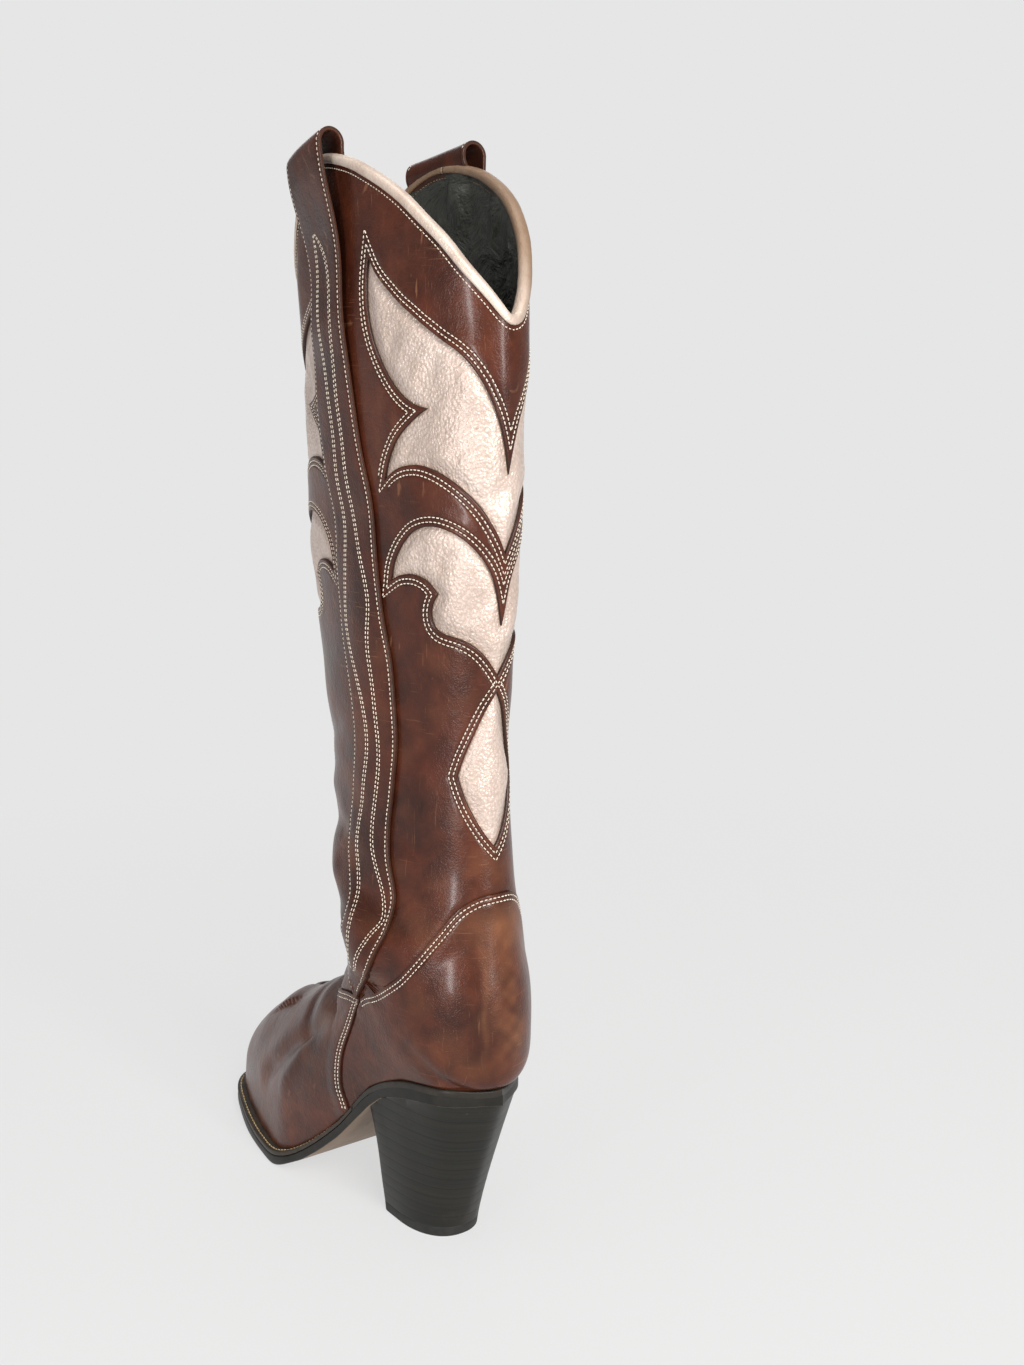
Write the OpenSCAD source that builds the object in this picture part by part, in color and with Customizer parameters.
// Left cowboy boot, knee height, with a stacked heel, inlaid shaft and pull straps.
// Toe points to -Y, outer (lateral) side to +X, up is +Z.
// The origin is the centre of the heel's ground face. Millimetres.

/* [Leather] */
// Thickness of the outer leather
leather_t = 1.4; // [1.0:0.1:1.4]
// Thickness of the pale inlay leather under the cut-outs
inlay_t = 0.7; // [0.5:0.1:0.7]
// Thickness of the shaft and foot lining leather
lining_t = 0.9; // [0.6:0.1:0.9]

/* [Pull straps] */
// Thickness of each pull strap
strap_t = 1.8; // [1.2:0.1:1.8]
// Height of the strap loops above the shaft's side peaks
loop_rise = 9; // [8:0.5:14]
// Half the gap across the strap loop
loop_r = 5.5; // [5.0:0.25:6.5]
// How far each strap runs down inside the shaft
strap_tail = 42; // [30:2:60]

/* [Top line] */
// Height of the top binding band
binding_h = 4; // [3:0.5:5]
// How far the binding stands proud of the leather
binding_t = 0.5; // [0.3:0.1:0.8]

/* [Sole] */
// Width of the welt outside the upper at the forefoot
welt_w = 4.5; // [3.5:0.25:5.5]
// Thickness of the outsole
outsole_t = 5; // [4.5:0.1:5]
// Width of the steel shank
shank_w = 14; // [10:1:16]
// Thickness of the steel shank
shank_t = 1.6; // [1.2:0.1:1.6]
// Thickness of the insole board
insole_t = 2.5; // [2:0.1:3]

/* [Heel] */
// Thickness of the rubber top lift that meets the ground
top_lift_t = 6; // [5:0.5:6]
// Thickness of one leather lift in the stack
lift_t = 6; // [5.5:0.25:6.25]
// Diameter of the nails that hold the stack
nail_d = 2.6; // [2:0.1:3]
// Diameter of the brads in the top lift
brad_d = 1.8; // [1.4:0.1:2]

/* [Hidden] */
gap = 0.4;                              // clearance between glued layers
lin_o = -(leather_t + inlay_t + 2*gap);  // outer face of the shaft lining
lin_i = lin_o - lining_t;                // inner face of the lining
NLIFT = 12;

brown = [0.36, 0.18, 0.13];
cream = [0.86, 0.76, 0.68];
black = [0.12, 0.13, 0.12];
tan   = [0.72, 0.58, 0.40];
stack = [0.17, 0.14, 0.12];
steel = [0.62, 0.63, 0.65];

// ---------------------------------------------------------------- form
// Stations of the boot's outer form, from the toe along the foot and up the
// shaft. Each row is one cross-section: y,z of its lower or back point, y,z of
// its ridge or front point, half width, start angle, height of the widest
// point, roundness, and the side offsets of the two ends.
ST = [
  [-196,  15, -196,  16,  0.6, -10, .42, .80, -3, -3],
  [-192,  14.5, -191, 37, 12.5, -10, .42, .80, -3, -4],
  [-183,  13.5, -180, 53, 22, -10, .42, .80, -3, -5],
  [-168,  12, -162,  68, 28.5, -10, .42, .82, -2.5, -6],
  [-149,  10, -142,  80, 34.5, -10, .42, .86, -2, -6],
  [-127, 8.5, -118,  92, 38.5, -12, .42, .90, -1, -5],
  [-103,  10,  -94, 106, 40, -15, .40, .95, 0, -3],
  [ -80,  21,  -74, 121, 38.5, -20, .40, 1, 0, -1],
  [ -50,  45,  -60, 136, 36.5, -28, .40, 1, 0, 0],
  [ -22,  73,  -52, 147, 36, -33, .42, 1, 0, 0],
  [   5,  86,  -49, 157, 36, -38, .42, 1, 0, 0],
  [  30,  90,  -50, 166, 36.5, -52, .43, 1, 0, 0],
  [  46,  91,  -54, 175, 36.5, -90, .44, 1, 0, 0],
  [  52, 108,  -61, 184, 37, -90, .46, 1, 0, 0],
  [  53, 131,  -69, 194, 36.5, -90, .48, 1, 0, 0],
  [50.5, 157,  -76, 205, 34.5, -90, .50, 1, 0, 0],
  [47.5, 186,  -80, 217, 32.5, -90, .50, 1, 0, 0],
  [  45, 217,  -84, 232, 31, -90, .50, 1, 0, 0],
  [  45, 252,  -89, 257, 30, -90, .50, 1, 0, 0],
  [  48, 290,  -96, 290, 30, -90, .50, 1, 0, 0],
  [  52, 330, -102, 330, 30.5, -90, .50, 1, 0, 0],
  [55.5, 372, -106, 372, 31.5, -90, .50, 1, 0, 0],
  [  58, 416, -108, 416, 33, -90, .50, 1, 0, 0],
  [59.5, 464, -108, 464, 35, -90, .50, 1, 0, 0],
  [  61, 540, -107, 540, 38, -90, .50, 1, 0, 0]];

// smooth curve through the rows of a table
function cr(T, k) = let (n = len(T)-1, i = min(max(floor(k), 0), n-1), f = k-i,
  p0 = T[max(i-1, 0)], p1 = T[i], p2 = T[i+1], p3 = T[min(i+2, n)])
  ((2*f-3)*f*f+1)*p1 + ((f-2)*f+1)*f*(p2-p0)/2 + (3-2*f)*f*f*p2 + (f-1)*f*f*(p3-p1)/2;

// point of the outer form: a runs 0..1 round a section from the outer feather
// edge (or back line) over the ridge (0.5) to the inner side, k along the stations
function S(a, k) = let (t0 = a-floor(a), th = (a == 1 && k < 12) ? 1 : t0, r = cr(ST, k),
  p0 = max(min(r[5], 0), -90), s = th <= .5 ? 1 : -1, h = th <= .5 ? 2*th : 2-2*th,
  ph = p0+(90-p0)*h, sn = sin(ph), cs = max(cos(ph), 0),
  t = sn >= 0 ? r[6]+(1-r[6])*sn : r[6]+r[6]*sn/sin(-min(p0, -.001)),
  x = r[4]*pow(cs, r[7]))
  [r[8]+(r[9]-r[8])*t+s*x, r[0]+(r[2]-r[0])*t, r[1]+(r[3]-r[1])*t];

// unit outward normal
function N(a, k) = let (o = k < 11.95, ka = max(k-.02, 0), kb = min(k+.02, 24),
  ta = o ? max(a-.003, 0) : a-.003, tb = o ? min(a+.003, 1) : a+.003,
  n = cross(S(a, kb)-S(a, ka), S(tb, k)-S(ta, k))) n/norm(n);

function off(p, o) = S(p[0], p[1])+o*N(p[0], p[1]);

// station at which a line a = const reaches the height z
function kz(a, z, lo = 8, hi = 24, i = 0) = i > 15 ? (lo+hi)/2 :
  let (m = (lo+hi)/2) S(a, m)[2] < z ? kz(a, z, m, hi, i+1) : kz(a, z, lo, m, i+1);

// ---------------------------------------------------------------- seams, as [a, k]
J = [.19, 10.1];                                   // where vamp, counter and strap meet
VC = [[0, 8.37], [.045, 8.33], [.089, 8.57], [.127, 9.18], [.16, 9.7], J];
CT = [[0, 16.09], [.05, 16.0], [.1, 15.6], [.15, 14.8], [.205, 13.7], [.246, 12.6], [.23, 11.4], J];
VT = [[.5, 7.3], [.44, 7.35], [.38, 7.55], [.32, 7.95], [.27, 8.4], [.228, 8.95], [.205, 9.5], J];
SS = [J, [.225, 10.7], [.25, 11.6], [.26, 12.6], [.26, 13.6], [.25, 14.6], [.243, 15.6], [.237, 16.8],
  [.232, 18], [.234, 19], [.243, 20], [.254, 21], [.264, 22], [.271, 23], [.274, 23.88]];
// the same side seam and counter line for the back panel, which ends higher up, under the strap
SB = [[.25, 12.6], [.258, 13.3], [.256, 14], [.25, 14.7], [.243, 15.6], [.237, 16.8],
  [.232, 18], [.234, 19], [.243, 20], [.254, 21], [.264, 22], [.271, 23], [.274, 23.88]];
CB = [[0, 16.09], [.05, 16.0], [.1, 15.6], [.15, 14.8], [.205, 13.7], [.25, 12.6]];
// height of the scalloped top line, from the centre dip (0) to the side peak (1)
TOP = [[457], [463], [469], [477], [487], [498], [509], [518], [525], [529], [531]];
function seg(L, p) = cr(L, p*(len(L)-1));
function ztop(f) = cr(TOP, f*10)[0];
function topk(a, f, d) = kz(a, ztop(f)-d);
function mir(p, s) = s < 0 ? [1-p[0], p[1]] : p;

// patch between four border curves: centre line, side line, lower and upper line
function mix(a, b, t) = a*(1-t)+b*t;

NC = 11;   // columns in each half
NR = 15;   // rows

// half-panel point, u 0 centre .. 1 side seam, v 0 bottom .. 1 top, d = drop below the top line
function backp(u, v, d) = let (B = seg(CB, u), Bl = CB[0], Br = CB[5],
  T = [.274*u, topk(.274*u, u, d)], Tl = [0, topk(0, 0, d)], Tr = [.274, topk(.274, 1, d)],
  L = mix(Bl, Tl, v), R = let (q = seg(SB, v)) [q[0], min(q[1], Tr[1])])
  mix(B, T, v)+mix(L, R, u)-mix(mix(Bl, Br, u), mix(Tl, Tr, u), v);
function frontp(u, v, d) = let (B = seg(VT, u), Bl = VT[0], Br = J,
  T = [.5-.226*u, topk(.5-.226*u, u, d)], Tl = [.5, topk(.5, 0, d)], Tr = [.274, topk(.274, 1, d)],
  L = mix(Bl, Tl, v), R = let (q = seg(SS, v)) [q[0], min(q[1], Tr[1])])
  mix(B, T, v)+mix(L, R, u)-mix(mix(Bl, Br, u), mix(Tl, Tr, u), v);
function vampp(u, v) = let (BK = concat(VT, [for (i = [len(VC)-2:-1:0]) VC[i]]), T = seg(BK, u),
  B = [.5*(1-u), 0], L = [.5, 7.3*v], R = [0, 8.37*v])
  mix(B, T, v)+mix(L, R, u)-mix(mix([.5, 0], [0, 0], u), mix([.5, 7.3], [0, 8.37], u), v);
function counterp(u, v) = let (B = [0, mix(12, 8.37, u)], T = seg(CT, u), L = [0, mix(12, 16.09, v)], R = seg(VC, v))
  mix(B, T, v)+mix(L, R, u)-mix(mix([0, 12], [0, 8.37], u), mix(CT[0], J, u), v);

// grids over a whole panel, both halves
function grid_back(v0, v1, n, d, uu = 1, m = NC) = [for (i = [0:n]) [for (j = [-m:m])
  mir(backp(abs(j)/m*uu, v0+(v1-v0)*i/n, d), j)]];
function grid_front(v0, v1, n, d, uu = 1, m = NC) = [for (i = [0:n]) [for (j = [-m:m])
  mir(frontp(abs(j)/m*uu, v0+(v1-v0)*i/n, d), -j)]];
function grid_vamp(v0, v1, n, uu = 1, m = 10) = [for (i = [0:n]) [for (j = [-m:m])
  mir(vampp(abs(j)/m*uu, v0+(v1-v0)*i/n), -j)]];
function grid_counter(v0, v1, n, uu = 1, m = 12) = [for (i = [0:n]) [for (j = [-m:m])
  mir(counterp(abs(j)/m*uu, v0+(v1-v0)*i/n), j)]];

// closed solid between two point grids, outer and inner
module slab_grid(A, B) {
  m = len(A); n = len(A[0]); c = m*n;
  pts = concat([for (r = A) each r], [for (r = B) each r]);
  function id(i, j) = i*n+j;
  polyhedron(pts, concat(
    [for (i = [0:m-2], j = [0:n-2]) each [[id(i,j), id(i,j+1), id(i+1,j+1)], [id(i,j), id(i+1,j+1), id(i+1,j)]]],
    [for (i = [0:m-2], j = [0:n-2]) each [[c+id(i,j), c+id(i+1,j+1), c+id(i,j+1)], [c+id(i,j), c+id(i+1,j), c+id(i+1,j+1)]]],
    [for (j = [0:n-2]) each [[id(0,j), c+id(0,j), c+id(0,j+1)], [id(0,j), c+id(0,j+1), id(0,j+1)]]],
    [for (j = [0:n-2]) each [[id(m-1,j), c+id(m-1,j+1), c+id(m-1,j)], [id(m-1,j), id(m-1,j+1), c+id(m-1,j+1)]]],
    [for (i = [0:m-2]) each [[id(i,0), c+id(i+1,0), c+id(i,0)], [id(i,0), id(i+1,0), c+id(i+1,0)]]],
    [for (i = [0:m-2]) each [[id(i,n-1), c+id(i,n-1), c+id(i+1,n-1)], [id(i,n-1), c+id(i+1,n-1), id(i+1,n-1)]]]),
    convexity = 8);
}
module sheet(G, o0, o1) {
  slab_grid([for (r = G) [for (p = r) off(p, o0)]], [for (r = G) [for (p = r) off(p, o1)]]);
}

// ---------------------------------------------------------------- inlay windows
// Each window is a ribbon between a left and a right line, as [side distance, height];
// the side distance is measured from the panel's centre line as a share of a full turn.
WU1 = [[[.213, 490], [.212, 490]], [[.211, 478], [.204, 479]], [[.206, 460], [.165, 461]], [[.188, 434], [.085, 434]],
  [[.165, 421], [.046, 421]], [[.141, 415], [.033, 414]], [[.162, 407], [.020, 406]], [[.180, 400], [.012, 400]], [[.192, 392], [.006, 391]]];
WU2 = [[[.192, 393], [.13, 393]], [[.199, 388], [.172, 388.5]], [[.205, 382], [.192, 383]], [[.209, 376], [.208, 376]]];
WU3 = [[[.145, 393], [0, 393]], [[.100, 386], [0, 386]], [[.074, 379], [0, 379]], [[.048, 369], [0, 369]], [[.022, 355], [0, 355]], [[.002, 343], [0, 342]]];
WM1 = [[[.120, 364], [.112, 364]], [[.145, 360.5], [.080, 360.5]], [[.168, 355], [.060, 355]], [[.182, 349], [.046, 349]],
  [[.193, 341], [.034, 341]], [[.197, 337], [.029, 337]]];
WM2 = [[[.197, 337.5], [.15, 337.5]], [[.201, 333], [.182, 333]], [[.205, 326], [.204, 326]]];
WM3 = [[[.165, 337.5], [.029, 337.5]], [[.134, 334], [.024, 334]], [[.128, 331], [.020, 331]], [[.136, 325], [.012, 325]],
  [[.143, 319], [.004, 319]], [[.138, 313], [0, 313]], [[.118, 309], [0, 309]], [[.072, 305], [0, 305]], [[.036, 299], [0, 299]], [[.003, 292], [0, 291]]];
WD = [[[.003, 286], [0, 287]], [[.020, 278], [0, 278]], [[.060, 261], [0, 261]], [[.093, 246], [0, 246]], [[.072, 228], [0, 228]], [[.038, 215], [0, 215]], [[.002, 205], [0, 204]]];

// one ribbon as a cutter through the panel; front windows count from the front line
module ribbon(W, front, s) {
  nt = 5;
  over = .003;
  G = [for (r = W) [for (j = [0:nt]) let (f = j/nt,
      a0 = r[0][0], b0 = r[1][0] <= 0 ? -over : r[1][0],
      a = mix(a0, b0, f), z = mix(r[0][1], r[1][1], f),
      q = front ? .5-a : a, w = s > 0 ? q : 1-q) [w, kz(w, z)]]];
  if ((s > 0) != front)
    slab_grid([for (r = G) [for (p = r) off(p, 5)]], [for (r = G) [for (p = r) off(p, -5)]]);
  else
    slab_grid([for (r = G) [for (p = r) off(p, -5)]], [for (r = G) [for (p = r) off(p, 5)]]);
}
module windows(front) {
  for (s = [-1, 1], W = [WU1, WU2, WU3, WM1, WM2, WM3, WD]) ribbon(W, front, s);
}

// ---------------------------------------------------------------- shaft
module shaft_back_panel() color(brown) resize([0, 0, 0]) difference() {
  sheet(grid_back(.006, 1, NR, binding_h+.6, .992), 0, -leather_t);
  windows(false);
}
module shaft_front_panel() color(brown) resize([0, 0, 0]) difference() {
  sheet(grid_front(.006, 1, NR, binding_h+.6, .992), 0, -leather_t);
  windows(true);
}
function inlay_grid(front, z0, z1, am, n, m) = [for (i = [0:n]) [for (j = [-m:m])
  let (a = abs(j)/m*am, q = front ? .5-a : a, f = a/(front ? .226 : .274),
    zt = min(z1, ztop(f)-binding_h-3), z = mix(z0, zt, i/n)) mir([q, kz(q, z)], front ? -j : j)]];
module inlay(front, z0, z1, am, n, m) color(cream)
  sheet(inlay_grid(front, z0, z1, am, n, m), -leather_t-gap, -leather_t-gap-inlay_t);
module inlay_back_wing() inlay(false, 289.5, 502, .222, 9, 9);
module inlay_back_diamond() inlay(false, 196, 287.5, .104, 5, 5);
module inlay_front_wing() inlay(true, 289.5, 502, .222, 9, 9);
module inlay_front_diamond() inlay(true, 196, 287.5, .104, 5, 5);
module shaft_lining_back() color(black) sheet(grid_back(.006, 1, 13, binding_h+.6, .992), lin_o, lin_i);
// rows of the front lining, closer together where the ankle curves in; it hangs
// up to 1.1 mm slacker behind the diamond window
LV = [.006, .1, .2, .3, .38, .44, .475, .51, .545, .58, .62, .67, .73, .79, .86, .93, 1];
function slack(v) = 1.1*max(0, sin(180*min(1, max(0, (v-.02)/.68))));
module shaft_lining_front() color(black) slab_grid(
  [for (v = LV) [for (j = [-NC:NC]) off(mir(frontp(abs(j)/NC*.992, v, binding_h+.6), -j), lin_o-slack(v))]],
  [for (v = LV) [for (j = [-NC:NC]) off(mir(frontp(abs(j)/NC*.992, v, binding_h+.6), -j), lin_i-slack(v))]]);

// folded band along the scalloped top edge
function bandp(front, u, z) = let (a = front ? .5-.226*u : .274*u) [a, kz(a, z)];
module binding(front) {
  G = [for (i = [0:1]) [for (j = [-16:16]) let (u = abs(j)/16*.985)
    mir(bandp(front, u, ztop(u)-binding_h*(1-i)), front ? -j : j)]];
  color(tan) sheet(G, binding_t, lin_i-binding_t);
}
module top_binding_back() binding(false);
module top_binding_front() binding(true);

// pull strap: up the side seam, over the top edge and down inside
HW = [[.6], [8], [13.5], [16], [17.5], [18.5], [17.5], [15.5], [14.5], [15.2], [16.2], [16.8], [16.6], [16], [15.5]];
module pull_strap(s) {
  nt = 6;
  kt = kz(.274, 531);
  tail_k = kz(.274, 531-strap_tail);
  mid = (lin_i)/2;
  top_o = mid+loop_r; top_i = mid-loop_r;
  // outer run rows: [angle, station, offset, lift, half width]
  out = [for (i = [1:28]) let (f = i/28, q = seg(SS, f*.955), hw = seg(HW, f)[0], up = max(0, (f-.8)/.2))
    [q[0], q[1], .5+strap_t/2+(top_o-.5-strap_t/2)*up*up*(3-2*up), 0, hw, 0]];
  loop = [for (i = [0:8]) let (al = i*22.5) [.274, kt, mid+loop_r*cos(al), loop_rise-loop_r+loop_r*sin(al), 15.3, al]];
  tail = [for (i = [1:3]) let (f = i/3) [.274, mix(kt, tail_k, f), mix(top_i, lin_i-.5-strap_t/2, f), 0, 15, 180]];
  rows = concat(out, loop, tail);
  function pt(r, j, w) = let (ay = norm(S(.27, r[1])-S(.23, r[1]))/.04, a = r[0]+(j/nt-.5)*2*r[4]/ay*(1), aa = s > 0 ? a : 1-a,
    n = N(aa, r[1]), c = S(aa, r[1])+r[2]*n+[0, 0, r[3]], d = n*cos(r[5])+[0, 0, 1]*sin(r[5])) c+d*w;
  A = [for (r = rows) [for (j = [0:nt]) pt(r, j, strap_t/2)]];
  B = [for (r = rows) [for (j = [0:nt]) pt(r, j, -strap_t/2)]];
  color(brown) if (s > 0) slab_grid(A, B); else slab_grid(B, A);
}
module pull_strap_outer() pull_strap(1);
module pull_strap_inner() pull_strap(-1);

// ---------------------------------------------------------------- foot
module vamp() color(brown) sheet(grid_vamp(0, .993, 14), 0, -leather_t);
module toe_puff() color(tan) sheet(grid_vamp(0, .993*4/14, 4), -leather_t-gap, -leather_t-gap-.7*inlay_t);
module vamp_lining() color(black) sheet(grid_vamp(0, .993, 10, 1, 8), lin_o, lin_i);
module counter() color(brown) sheet(grid_counter(0, .985, 9, .985), 0, -leather_t);
module heel_stiffener() color(tan) sheet(grid_counter(.985*4/9, .985*7/9, 3, .985*5/12, 5), -leather_t-gap, -leather_t-gap-.7*inlay_t);
module counter_lining() color(black) sheet(grid_counter(0, .985, 9, .985), lin_o, lin_i);

// plan outline at the feather edge, moved out by o, between two y limits
function edge(s, k, o) = let (p = S(s > 0 ? 0 : 1, k), a = S(s > 0 ? 0 : 1, max(k-.05, 0)), b = S(s > 0 ? 0 : 1, min(k+.05, 12)),
  d = [b[0]-a[0], b[1]-a[1]], n = [d[1], -d[0]]*s/norm(d)) [p[0]+n[0]*o, p[1]+n[1]*o];
KS = [for (k = [.25, .5, .8, 1.1, 1.5, 2, 2.5, 3, 3.5, 4, 4.5, 5, 5.5, 6, 6.5, 7, 7.5, 8, 8.5, 9, 9.5, 10, 10.4, 10.8, 11.1, 11.4, 11.6, 11.75, 11.87]) k];
module plan(o) {
  K = [for (k = KS) if (edge(1, k, o)[0]-edge(-1, k, o)[0] > 5 && (k > 1.3 || o > -3)) k];
  polygon(concat([for (k = K) edge(1, k, o)], [for (i = [len(K)-1:-1:0]) edge(-1, K[i], o)]));
}
// the same outline with the sole's ledge: wide round the forefoot, close at the waist and heel
function ledge(k) = mix(welt_w, .6, max(0, min(1, (k-5)/4)));
module ledge_plan() {
  polygon(concat([for (k = KS) edge(1, k, ledge(k))], [for (i = [len(KS)-1:-1:0]) edge(-1, KS[i], ledge(KS[i]))]));
}
// the sole line in side view, moved up by h0..h1, as a cut across the whole foot
KP = [for (k = [0:.5:12]) k];
function sole_y(k) = k <= 0 ? -215 : k >= 12 ? 70 : cr(ST, k)[0];
function sole_z(k) = cr(ST, min(max(k, 0), 12))[1];
module side(h0, h1) {
  rotate([90, 0, 90]) linear_extrude(140, center = true)
    polygon(concat([for (k = KP) [sole_y(k), sole_z(k)+h1]], [for (i = [len(KP)-1:-1:0]) [sole_y(KP[i]), sole_z(KP[i])+h0]]));
}
// ground line of the sole, flat where the ball of the foot rests
GP = [[-215, 7.5], [-196, 6.2], [-183, 4.2], [-168, 2], [-150, .3], [-142, 0], [-106, 0], [-98, 2.5], [-92, 5.6], [-80, 12], [-65, 23], [-50, 35.5],
  [-36, 49.5], [-22, 63.5], [-10, 72.5], [5, 77], [18, 79.8], [30, 81], [46, 82], [70, 82.5]];
module under(h) {
  rotate([90, 0, 90]) linear_extrude(140, center = true)
    polygon(concat(GP, [for (i = [len(KP)-1:-1:0]) [sole_y(KP[i]), sole_z(KP[i])+h]]));
}
module band(y0, y1) translate([-80, y0, -20]) cube([160, y1-y0, 300]);

module insole_board() color(tan) intersection() {
  linear_extrude(200) plan(-5.2);
  side(gap, gap+insole_t);
}
module heel_sock_pad() color(black) intersection() {
  linear_extrude(200) plan(-7.5);
  side(gap+insole_t+.3, gap+insole_t+2.1);
  band(-20, 60);
}
module cork_filler() color([.55, .42, .3]) intersection() {
  linear_extrude(200) plan(-7);
  side(-3.1, -gap);
  band(-188, -74);
}
module shank() color(steel) intersection() {
  translate([0, 0, 20]) linear_extrude(150) union() {
    translate([-shank_w/2, -66]) square([shank_w, 82]);
    translate([0, -66]) circle(d = shank_w, $fn = 32);
    translate([0, 16]) circle(d = shank_w, $fn = 32);
  }
  side(-gap-.2-shank_t, -gap-.2);
}
module shank_rivets() color(steel) for (y = [-62, 10]) let (z = sole_z(y < 0 ? 7.62 : 10.19))
  translate([0, y, z-3]) cylinder(d = 3.2, h = 3+gap+insole_t-.4, $fn = 32);
module welt() color([.16, .12, .09]) intersection() {
  difference() {
    linear_extrude(120) ledge_plan();
    translate([0, 0, -1]) linear_extrude(130) plan(-6.4);
  }
  side(-3.1, -gap);
  band(-215, -38);
}
module heel_rand() color([.16, .12, .09]) intersection() {
  difference() {
    linear_extrude(160) plan(.8);
    translate([0, 0, -1]) linear_extrude(170) plan(-8.5);
  }
  side(-3.1, -gap);
  band(-37.5, 70);
}
module outsole() color([.13, .11, .1]) intersection() {
  linear_extrude(160) ledge_plan();
  under(-3.5);
}

// ---------------------------------------------------------------- heel
// D-shaped heel sections: [height, breast y, back y, half width]
HS = [[0, -24, 21, 19.5], [20, -25, 26.5, 22], [40, -26, 32.5, 25], [60, -28, 40, 28.5], [80, -30, 47.5, 31.5], [100, -32, 54, 34]];
function heel_at(z) = cr(HS, z/20);
function heel_pt(z, t) = let (r = heel_at(z), x = r[3]*.97)
  // t 0..1 round the back from the outer breast corner, then straight across the breast
  let (al = 180*t, c = cos(al), s = sin(al), yb = r[2], ym = r[1]+(yb-r[1])*.36)
  t <= 0 ? [x, r[1]] : t >= 1 ? [-x, r[1]] :
  [r[3]*sign(c)*pow(abs(c), .86), ym+(yb-ym)*pow(s, .9)];
HT = [for (i = [0:22]) i/22];
function heel_ring(z) = [for (i = [0:24]) let (p = i == 0 ? heel_pt(z, 0) : i == 24 ? heel_pt(z, 1) : heel_pt(z, .0001+.9998*(i-1)/22)) [p[0], p[1], z]];
module heel_slice(z0, z1) {
  A = heel_ring(z0); B = heel_ring(z1); n = len(A); c0 = [0, 5, z0]; c1 = [0, 5, z1];
  polyhedron(concat(A, B, [c0, c1]), concat(
    [for (i = [0:n-1]) each let (j = (i+1)%n) [[i, n+j, j], [i, n+i, n+j]]],
    [for (i = [0:n-1]) [2*n, i, (i+1)%n]], [for (i = [0:n-1]) [2*n+1, n+(i+1)%n, n+i]]), convexity = 4);
}
module heel_lift(i) {
  z0 = top_lift_t+(i-1)*lift_t+.05; z1 = top_lift_t+i*lift_t-.05;
  color(i % 2 == 0 ? stack : stack*1.15)
  if (z0 > 48) resize([0, 0, 0]) difference() {
    heel_slice(z0, i == NLIFT ? z1+6 : z1);
    rotate([90, 0, 90]) linear_extrude(140, center = true) polygon(concat([for (p = GP) [p[0], p[1]-.12]], [[70, 140], [-215, 140]]));
  }
  else heel_slice(z0, z1);
}
module heel_lift_01() heel_lift(1);
module heel_lift_02() heel_lift(2);
module heel_lift_03() heel_lift(3);
module heel_lift_04() heel_lift(4);
module heel_lift_05() heel_lift(5);
module heel_lift_06() heel_lift(6);
module heel_lift_07() heel_lift(7);
module heel_lift_08() heel_lift(8);
module heel_lift_09() heel_lift(9);
module heel_lift_10() heel_lift(10);
module heel_lift_11() heel_lift(11);
module heel_lift_12() heel_lift(12);
module heel_top_lift() color([.09, .09, .09]) heel_slice(0, top_lift_t-.05);

// heel nails, as [side, along, station of the seat above]
NAILS = [[11, 20, 10.6], [-11, 20, 10.6], [0, 26, 10.83], [14, 6, 10.04], [-14, 6, 10.04]];
module heel_nails() color(steel) for (p = NAILS)
  translate([p[0], p[1], 46]) cylinder(d = nail_d, h = sole_z(p[2])+gap+insole_t-.5-46, $fn = 24);
module top_lift_brads() color(steel) for (p = [[12, -14], [-12, -14], [13, 4], [-13, 4], [0, 14]])
  translate([p[0], p[1], 2]) cylinder(d = brad_d, h = 14, $fn = 24);

// ---------------------------------------------------------------- build
shaft_front_panel();
shaft_back_panel();
inlay_front_wing();
inlay_front_diamond();
inlay_back_wing();
inlay_back_diamond();
shaft_lining_front();
shaft_lining_back();
pull_strap_outer();
pull_strap_inner();
top_binding_front();
top_binding_back();
vamp();
counter();
toe_puff();
heel_stiffener();
vamp_lining();
counter_lining();
insole_board();
heel_sock_pad();
cork_filler();
shank();
shank_rivets();
welt();
heel_rand();
outsole();
heel_nails();
heel_lift_01();
heel_lift_02();
heel_lift_03();
heel_lift_04();
heel_lift_05();
heel_lift_06();
heel_lift_07();
heel_lift_08();
heel_lift_09();
heel_lift_10();
heel_lift_11();
heel_lift_12();
heel_top_lift();
top_lift_brads();
